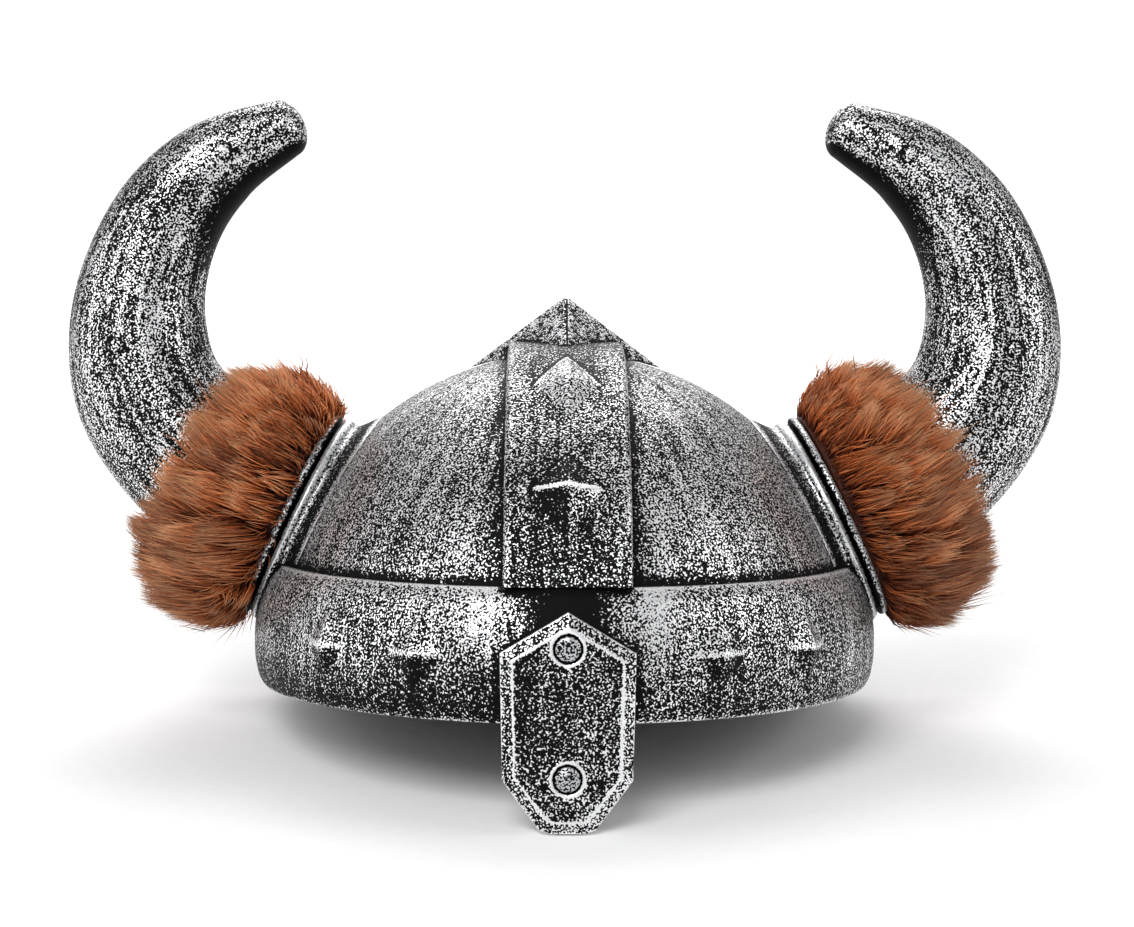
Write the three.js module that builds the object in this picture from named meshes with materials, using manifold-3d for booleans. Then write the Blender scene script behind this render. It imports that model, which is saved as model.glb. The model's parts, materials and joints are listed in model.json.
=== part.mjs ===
// Viking helmet of moulded shell, with two horns in fur cuffs. Millimetres, +Z up, front towards -Y.
// It stands as it does on a table: on the tip of its nose guard and the back of its rim.

import * as THREE from 'three';
import { mergeVertices } from 'three/addons/utils/BufferGeometryUtils.js';
import Module from 'manifold-3d';

const wasm = await Module();
wasm.setup();

// Clearance between pieces that sit on each other
const gap = 0.3;

// Dome, an oval half shell whose widest level lies just above the rim
const domeHalfWidth = 91;
const domeHalfLength = 108;
const domeCrown = 91.5;
const domeLevel = 9.5;
const domeWall = 3;
const domeSides = 40;

// Brow band round the foot of the dome, and its low diamond studs
const bandHeight = 36.4;
const bandThickness = 5.6;
const bandStudWidth = 17;
const bandStudHeight = 20;
const bandStudRelief = 2.6;

// Strip over the crown, with raised pyramid studs
const stripWidth = 35.5;
const stripThickness = 3.5;
const stripEdge = 1.6;
const stripStudWidth = 20;
const stripStudRelief = 4;

// Pyramid on the crown, measured from the top of the strip
const peakRise = 14.7;
const peakShoulder = 1.7;

// Nose guard, its bevelled border and its rivets
const noseWidth = 36.6;
const noseHeight = 59.4;
const noseDrop = 28.7;
const noseThickness = 4.4;
const noseBackset = 1.4;
const noseBorder = 3.3;
const noseBevelDepth = 1.7;
const rivetRadius = 3.45;
const rivetRecess = 0.8;
const rivetHead = 1.1;
const rivetFromTop = 9.5;
const rivetFromTip = 14.9;
const rivetSides = 16;

// Collars on the dome, on an axis through its centre, and the flanges over them
const collarAngle = THREE.MathUtils.degToRad(25.5);
const collarRadius = 34;
const collarProud = 2;
const collarDepth = 12;
const collarFlare = 6;
const flangeThickness = 2;
const flangeGap = 0.7;

// Horns, from the face of the collar
const hornRootRadius = 24.5;
const hornReach = 49.6;
const hornRise = 121;
const hornTipLength = 6.5;
const hornSides = 18;
const hornSteps = 15;
const ringSides = 30;
const nubRadius = 3.1;
const nubRelief = 1.1;

// Fur cuffs round the roots of the horns
const cuffLength = 35;
const cuffRadius = 38;
const cuffSides = 24;
const lockRings = 5;
const lockLength = 10;
const lockSag = 0.9;
const lockLean = THREE.MathUtils.degToRad(45);

// Outer face of the band: height as a share of the band's, thickness as a share of its thickest
const bandSection = [
  { up: 0, out: 0.62 },
  { up: 0.05, out: 0.8 },
  { up: 0.2, out: 0.94 },
  { up: 0.45, out: 1 },
  { up: 0.72, out: 0.95 },
  { up: 0.92, out: 0.8 },
  { up: 1, out: 0.5 },
];

// Studs on the band: angle round the dome from its front, the same again on each side and behind
const bandStuds = [{ turn: 26 }, { turn: 45 }];

// Studs on the strip: angle up the dome from its widest level, how far each leans to the front, and
// its length above and below its point as shares of its width
const stripStuds = [
  { climb: 34, lean: 30, above: 0.6, below: 0.85 },
  { climb: 59, lean: 20, above: 0.95, below: 0.95 },
];

// Outline of one side of the nose guard, from the top down: shares of its half width and height
const noseOutline = [
  { across: 0, down: 0 },
  { across: 1, down: 0.185 },
  { across: 0.96, down: 0.758 },
  { across: 0.42, down: 0.982 },
  { across: 0.25, down: 1 },
];

// Side of a collar from the dome to its face: share of the way out, and its radius beyond its own as a
// share of the flare
const collarSection = [
  { out: 0, spread: 1 },
  { out: 0.22, spread: 0.42 },
  { out: 0.42, spread: 0.08 },
  { out: 0.62, spread: 0 },
  { out: 0.82, spread: -0.05 },
  { out: 0.94, spread: -0.22 },
  { out: 1, spread: -0.5 },
];

// Sections of a horn: outwards and upwards from the collar as shares of its reach and rise, and its
// radius as a share of the root's
const hornSections = [
  { out: 0.446, up: 0.092, thick: 1 },
  { out: 0.758, up: 0.212, thick: 0.98 },
  { out: 0.94, up: 0.331, thick: 0.94 },
  { out: 1, up: 0.484, thick: 0.87 },
  { out: 0.942, up: 0.641, thick: 0.775 },
  { out: 0.768, up: 0.794, thick: 0.685 },
  { out: 0.49, up: 0.912, thick: 0.575 },
  { out: 0.083, up: 1, thick: 0.38 },
];

// Nubs on a horn: place along its length, and turn from its front towards its outer side
const hornNubs = [
  { along: 0.5, turn: 10 },
  { along: 0.89, turn: 2 },
];

// Body of a cuff under its locks: place along it, radius as a share of its full one, and the length of
// the locks that grow there as a share of a full lock
const cuffSections = [
  { along: 0, thick: 0.86, lock: 0.6 },
  { along: 0.12, thick: 0.95, lock: 0.8 },
  { along: 0.45, thick: 1, lock: 1 },
  { along: 0.8, thick: 0.97, lock: 0.9 },
  { along: 1, thick: 0.9, lock: 0.7 },
];

const silver = { color: 0x8b8d8f, roughness: 0.42, metalness: 0.85 };
const darkSilver = { color: 0x55575a, roughness: 0.5, metalness: 0.8 };
const rustFur = { color: 0x8f4f2b, roughness: 0.95, metalness: 0 };

// Solid from a closed geometry: shared vertices are merged and collapsed faces dropped
function solidFrom(geometry) {
  const plain = geometry.clone();
  plain.deleteAttribute('normal');
  plain.deleteAttribute('uv');
  const merged = mergeVertices(plain, 1e-4);
  const corners = merged.index.array;
  const kept = [];
  for (let i = 0; i < corners.length; i += 3) {
    const [a, b, c] = corners.slice(i, i + 3);
    if (a !== b && b !== c && c !== a) kept.push(a, b, c);
  }
  return new wasm.Manifold(new wasm.Mesh({
    numProp: 3,
    vertProperties: new Float32Array(merged.attributes.position.array),
    triVerts: new Uint32Array(kept),
  }));
}

function geometryFrom(solid) {
  const { vertProperties, triVerts } = solid.getMesh();
  const geometry = new THREE.BufferGeometry();
  geometry.setAttribute('position', new THREE.BufferAttribute(vertProperties, 3));
  geometry.setIndex(new THREE.BufferAttribute(triVerts, 1));
  geometry.computeVertexNormals();
  return geometry;
}

// Moves every vertex of a geometry by a function of its place
function reshape(geometry, move) {
  const places = geometry.attributes.position;
  const place = new THREE.Vector3();
  for (let i = 0; i < places.count; i++) {
    place.fromBufferAttribute(places, i);
    move(place, i);
    places.setXYZ(i, place.x, place.y, place.z);
  }
  return geometry;
}

// The same geometry on the other side of the helmet, its faces turned to point outwards again
function mirrored(geometry) {
  const copy = reshape(geometry.clone(), (place) => place.setX(-place.x));
  const index = copy.index.array;
  for (let i = 0; i < index.length; i += 3) {
    [index[i], index[i + 1]] = [index[i + 1], index[i]];
  }
  copy.computeVertexNormals();
  return copy;
}

// Value of a column of a table at a place between its rows
function between(rows, place, at, column) {
  const last = rows.length - 1;
  let i = 0;
  while (i < last - 1 && rows[i + 1][at] < place) i++;
  const share = (place - rows[i][at]) / (rows[i + 1][at] - rows[i][at]);
  return THREE.MathUtils.lerp(rows[i][column], rows[i + 1][column], THREE.MathUtils.clamp(share, 0, 1));
}

// Share of the dome's full width and length that is left at a height
function domeShare(height) {
  const rise = (height - domeLevel) / domeCrown;
  return Math.sqrt(Math.max(0, 1 - rise * rise));
}

// The dome as a full oval, with its surface moved outwards by an amount
function domeOval(grow) {
  const sphere = new THREE.SphereGeometry(1, domeSides, domeSides / 2);
  sphere.rotateX(Math.PI / 2);
  sphere.scale(domeHalfWidth + grow, domeHalfLength + grow, domeCrown + grow);
  sphere.translate(0, 0, domeLevel);
  return solidFrom(sphere);
}

// A block that takes away all below a level
function below(level) {
  const size = 4 * domeHalfLength;
  const block = new THREE.BoxGeometry(size, size, size);
  block.translate(0, 0, level - size / 2);
  return solidFrom(block);
}

function domeShell() {
  return domeOval(0).subtract(domeOval(-domeWall)).subtract(below(0));
}

// Ring round the dome from a section of heights and distances out from the dome's surface
function domeRing(section) {
  const reference = domeHalfLength;
  const points = section.map(({ out, up }) => new THREE.Vector2(reference + out, up));
  const ring = new THREE.LatheGeometry([...points, points[0]], domeSides);
  reshape(ring, (place) => {
    const turn = Math.atan2(place.z, place.x);
    const out = Math.hypot(place.x, place.z) - reference;
    const height = place.y;
    const halfWidth = domeHalfWidth * domeShare(height) + out;
    const halfLength = domeHalfLength * domeShare(height) + out;
    place.set(halfWidth * Math.cos(turn), -halfLength * Math.sin(turn), height);
  });
  return solidFrom(ring);
}

// The band, with its surface moved outwards by an amount
function bandRing(grow) {
  const outer = bandSection.map(({ up, out }) => ({ up: up * bandHeight, out: out * bandThickness + grow }));
  const inner = [1, 0.75, 0.5, 0.25, 0].map((up) => ({ up: up * bandHeight, out: gap - grow }));
  return domeRing([...outer, ...inner]);
}

// Four-sided pyramid on a deep foot, with its point towards +Y and its base at the origin. Its length
// lies along Z, and may be uneven on the two sides of its point.
function pyramidStud(width, above, below, relief) {
  const points = [[0, -relief], [1, -relief], [1, 0], [0, relief]];
  const stud = new THREE.LatheGeometry(points.map(([x, y]) => new THREE.Vector2(x, y)), 4);
  return reshape(stud, (place) => {
    const length = place.z > 0 ? below : above;
    place.set((place.x * width) / 2, place.y, place.z * length);
  });
}

// A ring round the dome, cut away where the collars stand
function notched(ring, radius) {
  const seat = new THREE.CylinderGeometry(radius, radius, collarDepth * 4, ringSides);
  placeOnCollarAxis(seat, collarFace() - collarDepth);
  return ring.subtract(solidFrom(seat)).subtract(solidFrom(mirrored(seat)));
}

function browBand() {
  let band = notched(bandRing(0), collarRadius + gap);
  const height = bandHeight / 2;
  const proud = bandThickness * between(bandSection, 0.5, 'up', 'out');
  const halfWidth = domeHalfWidth * domeShare(height) + proud;
  const halfLength = domeHalfLength * domeShare(height) + proud;
  for (const { turn } of bandStuds) {
    for (const side of [1, -1]) {
      for (const end of [1, -1]) {
        const angle = THREE.MathUtils.degToRad(turn);
        const x = side * halfWidth * Math.sin(angle);
        const y = -end * halfLength * Math.cos(angle);
        const stud = pyramidStud(bandStudWidth, bandStudHeight / 2, bandStudHeight / 2, bandStudRelief);
        stud.rotateZ(Math.atan2(y / halfLength ** 2, x / halfWidth ** 2) - Math.PI / 2);
        stud.translate(x, y, height);
        band = band.add(solidFrom(stud));
      }
    }
  }
  return band;
}

// Curved slab over the crown: its side outline is pushed through its width with worked edges
function stripSlab(grow) {
  const halfLength = domeHalfLength + stripThickness + grow;
  const crown = domeCrown + stripThickness + grow;
  const depth = stripThickness * 3;
  const foot = Math.asin((bandHeight + gap - domeLevel) / crown);
  const outline = new THREE.Shape();
  outline.absellipse(0, domeLevel, halfLength, crown, foot, Math.PI - foot, false);
  outline.absellipse(0, domeLevel, halfLength - depth, crown - depth, Math.PI - foot, foot, true);
  const slab = new THREE.ExtrudeGeometry(outline, {
    depth: stripWidth + 2 * grow - 2 * stripEdge,
    curveSegments: domeSides / 2,
    bevelThickness: stripEdge,
    bevelSize: stripEdge,
    bevelOffset: -stripEdge,
    bevelSegments: 1,
  });
  slab.translate(0, 0, -(stripWidth + 2 * grow) / 2 + stripEdge);
  reshape(slab, (place) => place.set(place.z, place.x, place.y));
  return solidFrom(slab);
}

function ridgeStrip() {
  let strip = stripSlab(0);
  const halfLength = domeHalfLength + stripThickness;
  const crown = domeCrown + stripThickness;
  for (const { climb, lean, above, below: under } of stripStuds) {
    const angle = THREE.MathUtils.degToRad(climb);
    const slope = Math.atan2(Math.sin(angle) / crown, Math.cos(angle) / halfLength);
    const stud = pyramidStud(stripStudWidth, above * stripStudWidth, under * stripStudWidth, stripStudRelief);
    const tilt = new THREE.Matrix4().makeShear(0, 0, 0, Math.tan(THREE.MathUtils.degToRad(lean)), 0, 0);
    stud.applyMatrix4(tilt);
    stud.rotateX(Math.PI - slope);
    stud.translate(0, -halfLength * Math.cos(angle), domeLevel + crown * Math.sin(angle));
    strip = strip.add(solidFrom(stud)).add(solidFrom(stud.clone().rotateZ(Math.PI)));
  }
  return strip.subtract(domeOval(gap)).subtract(below(bandHeight + gap));
}

// Pyramid that reaches down to where the dome's side is as steep as its own ridges
function crownPeak() {
  const stripTop = domeLevel + domeCrown + stripThickness;
  const slope = peakRise / (stripWidth / 2 + peakShoulder);
  const steepness = (slope * domeHalfWidth) / domeCrown;
  const halfDiagonal = (domeHalfWidth * steepness) / Math.hypot(1, steepness);
  const height = slope * halfDiagonal;
  const pyramid = new THREE.CylinderGeometry(0, halfDiagonal, height, 4);
  pyramid.rotateX(Math.PI / 2);
  pyramid.translate(0, 0, stripTop + peakRise - height / 2);
  return solidFrom(pyramid).subtract(domeOval(gap)).subtract(stripSlab(gap));
}

const bandFront = domeHalfLength + bandThickness;
const noseFace = bandFront + gap + noseThickness;
const noseBack = bandFront - noseBackset;

function noseGuard() {
  const top = noseHeight - noseDrop;
  const side = noseOutline.map(({ across, down }) => [across * noseWidth / 2, top - down * noseHeight]);
  const otherSide = side.slice(1).reverse().map(([x, z]) => [-x, z]);
  const outline = new THREE.Shape([...side, ...otherSide].reverse().map(([x, z]) => new THREE.Vector2(x, z)));
  const plate = new THREE.ExtrudeGeometry(outline, {
    depth: noseFace - noseBack,
    bevelThickness: noseBevelDepth,
    bevelSize: noseBorder,
    bevelOffset: -noseBorder,
    bevelSegments: 1,
  });
  plate.rotateX(Math.PI / 2);
  plate.translate(0, -noseBack + noseBevelDepth, 0);
  const behind = new THREE.BoxGeometry(2 * noseWidth, 2 * noseThickness + 2 * noseBevelDepth, 2 * noseHeight);
  behind.translate(0, -noseBack + noseThickness + noseBevelDepth, 0);
  let guard = solidFrom(plate).subtract(solidFrom(behind)).subtract(bandRing(gap));
  for (const height of rivetHeights()) {
    const recess = new THREE.CylinderGeometry(rivetRadius + gap, rivetRadius + gap, 2 * rivetRecess, rivetSides);
    recess.translate(0, -noseFace, height);
    guard = guard.subtract(solidFrom(recess));
  }
  return guard;
}

function rivetHeights() {
  return [noseHeight - noseDrop - rivetFromTop, rivetFromTip - noseDrop];
}

function rivet(height) {
  const foot = rivetRecess - gap;
  const points = [[0, 0], [rivetRadius, 0], [rivetRadius, foot]];
  const head = new THREE.LatheGeometry([
    ...points,
    [rivetRadius * 0.82, foot + rivetHead * 0.6],
    [rivetRadius * 0.45, foot + rivetHead * 0.92],
    [0, foot + rivetHead],
  ].map(([x, y]) => new THREE.Vector2(x, y)), rivetSides);
  head.rotateX(Math.PI);
  head.translate(0, -noseFace + rivetRecess - gap, height);
  return solidFrom(head);
}

// Distance of the collar's face from the dome's centre, along its axis
function collarFace() {
  const reach = 1 / Math.hypot(Math.cos(collarAngle) / domeHalfWidth, Math.sin(collarAngle) / domeCrown);
  return reach + collarProud;
}

// Point on the axis of the right collar and horn
function axisPoint(distance) {
  return new THREE.Vector3(distance * Math.cos(collarAngle), 0, domeLevel + distance * Math.sin(collarAngle));
}

// Lays a geometry made along +Y on the collar's axis, with its origin at a distance from the dome's centre
// and its +Z side uppermost
function placeOnCollarAxis(geometry, distance) {
  const place = axisPoint(distance);
  geometry.rotateZ(-Math.PI / 2);
  geometry.rotateY(-collarAngle);
  geometry.translate(place.x, place.y, place.z);
  return geometry;
}

// Ring round the collar's axis from a section of radius and place along the axis
function axisRing(section, distance) {
  const points = section.map(({ radius, along }) => new THREE.Vector2(radius, along));
  const ring = new THREE.LatheGeometry([...points, points[0]], ringSides);
  return solidFrom(placeOnCollarAxis(ring, distance));
}

// Distance along the collar's axis at which a line beside the axis meets the dome
function domeReach(rise, side) {
  const cos = Math.cos(collarAngle);
  const sin = Math.sin(collarAngle);
  const a = (cos / domeHalfWidth) ** 2 + (sin / domeCrown) ** 2;
  const b = rise * cos * sin * (1 / domeCrown ** 2 - 1 / domeHalfWidth ** 2);
  const across = ((rise * sin) / domeHalfWidth) ** 2 + ((rise * cos) / domeCrown) ** 2;
  const c = across + (side / domeHalfLength) ** 2 - 1;
  return (-b + Math.sqrt(b * b - a * c)) / a;
}

// Ring on the dome, its flared foot fitted to the dome's surface all the way round, and cut off where it
// would run into the band
function collar() {
  const bore = hornRootRadius + gap;
  const side = collarSection.map(({ out, spread }) =>
    new THREE.Vector2(collarRadius + spread * (spread > 0 ? collarFlare : collarDepth / 3), out));
  const profile = [new THREE.Vector2(bore, 0), ...side, new THREE.Vector2(bore, 1), new THREE.Vector2(bore, 0)];
  const ring = new THREE.LatheGeometry(profile, ringSides);
  const face = collarFace();
  reshape(ring, (place) => {
    const foot = domeReach(place.z, place.x) - 2 * gap;
    place.y = THREE.MathUtils.lerp(foot, face, place.y);
  });
  placeOnCollarAxis(ring, 0);
  const bandTop = bandHeight + gap;
  const bandRoom = domeRing([
    { out: -domeWall, up: -gap },
    { out: bandThickness + collarFlare, up: -gap },
    { out: bandThickness + collarFlare, up: bandTop },
    { out: -domeWall, up: bandTop },
  ]);
  return solidFrom(ring).subtract(domeOval(gap)).subtract(notched(bandRoom, collarRadius));
}

function flange() {
  const bore = hornRootRadius + gap;
  const edge = flangeThickness / 4;
  const section = [
    { radius: bore, along: 0 },
    { radius: collarRadius, along: 0 },
    { radius: collarRadius, along: flangeThickness - edge },
    { radius: collarRadius - edge, along: flangeThickness },
    { radius: bore, along: flangeThickness },
  ];
  return axisRing(section, collarFace() + flangeGap);
}

// Centre line of the right horn, from inside the collar to the start of its rounded tip
function hornLine() {
  const root = axisPoint(collarFace());
  const points = hornSections.map(({ out, up }) =>
    new THREE.Vector3(root.x + out * hornReach, 0, root.z + up * hornRise));
  return new THREE.CatmullRomCurve3([axisPoint(collarFace() - collarDepth), root, ...points]);
}

// Places along the horn's length with the radius there
function hornRadii(line) {
  const root = axisPoint(collarFace());
  const rows = [{ along: 0, radius: hornRootRadius }];
  let travelled = collarDepth;
  let last = root;
  for (const { out, up, thick } of hornSections) {
    const next = new THREE.Vector3(root.x + out * hornReach, 0, root.z + up * hornRise);
    travelled += next.distanceTo(last);
    last = next;
    rows.push({ along: travelled, radius: thick * hornRootRadius });
  }
  const scale = line.getLength() / travelled;
  return rows.map(({ along, radius }) => ({ along: along * scale, radius }));
}

// Lays a geometry made along +Y on a flat curve: past the curve's end it runs straight on
function bendAlong(geometry, line) {
  const length = line.getLength();
  const side = new THREE.Vector3(0, 1, 0);
  return reshape(geometry, (place) => {
    const reach = THREE.MathUtils.clamp(place.y, 0, length);
    const tangent = line.getTangentAt(reach / length);
    const up = new THREE.Vector3().crossVectors(tangent, side);
    const { x, y, z } = place;
    place.copy(line.getPointAt(reach / length));
    place.addScaledVector(tangent, y - reach).addScaledVector(up, x).addScaledVector(side, z);
  });
}

function hornSolid(grow) {
  const line = hornLine();
  const length = line.getLength();
  const radii = hornRadii(line);
  const points = [new THREE.Vector2(0, 0)];
  for (let i = 0; i <= hornSteps; i++) {
    const along = (length * i) / hornSteps;
    points.push(new THREE.Vector2(between(radii, along, 'along', 'radius') + grow, along));
  }
  const tipRadius = radii.at(-1).radius;
  for (const angle of [25, 50, 72]) {
    const turn = THREE.MathUtils.degToRad(angle);
    points.push(new THREE.Vector2(tipRadius * Math.cos(turn) + grow, length + hornTipLength * Math.sin(turn)));
  }
  points.push(new THREE.Vector2(0, length + hornTipLength + grow));
  return solidFrom(bendAlong(new THREE.LatheGeometry(points, hornSides), line));
}

function horn() {
  const line = hornLine();
  const length = line.getLength();
  const radii = hornRadii(line);
  let body = hornSolid(0).subtract(domeOval(gap));
  for (const { along, turn } of hornNubs) {
    const nub = new THREE.SphereGeometry(1, 10, 6);
    const angle = THREE.MathUtils.degToRad(turn);
    const radius = between(radii, along * length, 'along', 'radius');
    nub.scale(nubRadius, nubRadius, nubRelief * 2);
    nub.translate(0, 0, -radius + nubRelief);
    nub.rotateY(angle);
    nub.translate(0, along * length, 0);
    body = body.add(solidFrom(bendAlong(nub, line)));
  }
  return body;
}

// Fur sleeve round the horn: on every second ring every second corner is drawn out into a lock that
// leans away from the collar, and the locks below hang a little longer
function furCuff() {
  const rings = 2 * lockRings;
  const profile = [new THREE.Vector2(0, 0)];
  for (let ring = 0; ring <= rings; ring++) {
    const along = ring / rings;
    profile.push(new THREE.Vector2(between(cuffSections, along, 'along', 'thick') * cuffRadius, along * cuffLength));
  }
  profile.push(new THREE.Vector2(0, cuffLength));
  const sleeve = new THREE.LatheGeometry(profile, cuffSides);
  reshape(sleeve, (place, index) => {
    const side = Math.floor(index / profile.length) % cuffSides;
    const ring = (index % profile.length) - 1;
    if (ring % 2 !== 1 || ring > rings || (side + (ring - 1) / 2) % 2 !== 0) return;
    const across = Math.hypot(place.x, place.z);
    const hang = 1 + lockSag * Math.max(0, -place.z / across);
    const uneven = 1 + 0.15 * Math.sin(7 * side + 3 * ring);
    const length = lockLength * between(cuffSections, ring / rings, 'along', 'lock') * hang * uneven;
    const spread = 1 + (length * Math.sin(lockLean)) / across;
    place.set(place.x * spread, place.y + length * Math.cos(lockLean), place.z * spread);
  });
  placeOnCollarAxis(sleeve, collarFace() + flangeGap + flangeThickness + gap);
  return solidFrom(sleeve).subtract(hornSolid(gap));
}

function addPiece(group, name, geometry, finish) {
  const piece = new THREE.Mesh(geometry, new THREE.MeshStandardMaterial(finish));
  piece.name = name;
  group.add(piece);
}

const helmet = new THREE.Group();
addPiece(helmet, 'dome_shell', geometryFrom(domeShell()), silver);
addPiece(helmet, 'brow_band', geometryFrom(browBand()), silver);
addPiece(helmet, 'ridge_strip', geometryFrom(ridgeStrip()), silver);
addPiece(helmet, 'crown_peak', geometryFrom(crownPeak()), silver);
addPiece(helmet, 'nose_guard', geometryFrom(noseGuard()), silver);
rivetHeights().forEach((height, i) => {
  addPiece(helmet, ['nose_rivet_upper', 'nose_rivet_lower'][i], geometryFrom(rivet(height)), darkSilver);
});

const sidePieces = [
  { name: 'collar', solid: collar(), finish: silver },
  { name: 'flange', solid: flange(), finish: darkSilver },
  { name: 'horn', solid: horn(), finish: silver },
  { name: 'fur_cuff', solid: furCuff(), finish: rustFur },
];
for (const { name, solid, finish } of sidePieces) {
  const right = geometryFrom(solid);
  addPiece(helmet, `${name}_right`, right, finish);
  addPiece(helmet, `${name}_left`, mirrored(right), finish);
}

// At rest the tip of the nose guard and the back of the rim are level
const rimBack = domeHalfLength * domeShare(0) + bandSection[0].out * bandThickness;
const restTilt = Math.atan2(noseDrop, noseBack + rimBack);
helmet.rotation.x = -restTilt;
const extent = new THREE.Box3().setFromObject(helmet, true);
const middle = extent.getCenter(new THREE.Vector3());
helmet.position.set(-middle.x, -middle.y, -extent.min.z);

const resting = new THREE.Group();
resting.add(helmet);
export default resting;
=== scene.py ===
import json
import math

import bmesh
import bpy
import numpy as np
from mathutils import Matrix, Vector
from mathutils.bvhtree import BVHTree


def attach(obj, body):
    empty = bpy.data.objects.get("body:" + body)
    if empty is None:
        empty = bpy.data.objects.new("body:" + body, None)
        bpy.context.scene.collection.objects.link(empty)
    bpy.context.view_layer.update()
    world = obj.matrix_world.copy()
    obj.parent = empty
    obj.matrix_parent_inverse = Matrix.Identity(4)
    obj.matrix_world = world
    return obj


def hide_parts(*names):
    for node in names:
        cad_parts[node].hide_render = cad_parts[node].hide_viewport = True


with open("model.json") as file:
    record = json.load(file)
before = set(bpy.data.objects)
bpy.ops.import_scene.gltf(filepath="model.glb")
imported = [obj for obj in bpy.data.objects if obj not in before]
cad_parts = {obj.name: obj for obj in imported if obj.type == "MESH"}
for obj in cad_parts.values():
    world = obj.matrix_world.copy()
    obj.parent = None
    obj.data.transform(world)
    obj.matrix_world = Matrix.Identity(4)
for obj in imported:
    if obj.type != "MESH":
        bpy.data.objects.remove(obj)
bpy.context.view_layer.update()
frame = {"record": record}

# How the helmet stands, and the camera
# The helmet rests tipped forward, on the tip of its nose guard and the back of its rim. Every piece is
# shaped upright in millimetres, rim level and front towards -Y, and laid on the model by the rim's mount.
rim_mount = next(mount for mount in frame["record"]["mounts"] if mount["name"] == "rim")
rim_front = Vector((0, -105.9, 0))
rim_tilt = math.atan2(rim_mount["axis"][1], -rim_mount["axis"][2])
tipped = Matrix.Rotation(rim_tilt, 4, "X") @ Matrix.Scale(0.001, 4)
at_rest = Matrix.Translation(Vector(rim_mount["pos_m"]) - tipped @ rim_front) @ tipped

camera_aside = 0.6
camera_distance = 768
camera_height = 95
camera_pitch = math.radians(2.14)
camera_orbit = math.radians(-0.55)
camera_roll = math.radians(0.25)

camera_data = bpy.data.cameras.new("camera")
camera_data.sensor_width = 36
camera_data.lens = 77.7
camera = bpy.data.objects.new("camera", camera_data)
bpy.context.scene.collection.objects.link(camera)
bpy.context.scene.camera = camera
camera_place = (
    at_rest
    @ Matrix.Rotation(camera_orbit, 4, "Z")
    @ Matrix.Translation((camera_aside, -camera_distance, camera_height))
    @ Matrix.Rotation(math.pi / 2 - camera_pitch, 4, "X")
    @ Matrix.Rotation(camera_roll, 4, "Z")
)
camera_spot, camera_turn, unused_scale = camera_place.decompose()
camera.matrix_world = Matrix.LocRotScale(camera_spot, camera_turn, None)

# Dome shell
# The skull of the helmet: one moulded shell of tough foam plastic, 3 mm thick and open below, painted
# near-black and then rubbed with silver, which catches on the high spots of its leathery grain.
dome_half_width = 91
dome_half_length = 108
dome_crown = 91.5
dome_level = 9.5
dome_wall = 3
dome_sides = 208
dome_brush_radius = 60
lining_sides = 104
clearance = 0.3

grain_size = 0.56
grain_relief = 0.2
grain_softness = 0.035
brush_width = 2.2
brush_length = 34
patch_size = 30
patch_share = 0.18
dent_size = 11
dent_relief = 0.35


def oval_share(height):
    """Share of the dome's full width and length that is left at a height."""
    return math.sqrt(max(0, 1 - ((height - dome_level) / dome_crown) ** 2))


def linear(hex_colour):
    """Linear colour of an sRGB hex value."""
    channels = [int(hex_colour[i:i + 2], 16) / 255 for i in (1, 3, 5)]
    return [c / 12.92 if c <= 0.04045 else ((c + 0.055) / 1.055) ** 2.4 for c in channels] + [1]


def add(tree, kind, inputs, **settings):
    """A node with its settings, and its inputs set or linked."""
    made = tree.nodes.new(kind)
    for name, value in settings.items():
        setattr(made, name, value)
    for name, value in inputs.items():
        if isinstance(value, bpy.types.NodeSocket):
            tree.links.new(value, made.inputs[name])
        else:
            made.inputs[name].default_value = value
    return made


def new_material(name):
    """An empty material, and its node tree."""
    material = bpy.data.materials.new(name)
    material.use_nodes = True
    material.node_tree.nodes.clear()
    return material, material.node_tree


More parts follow.
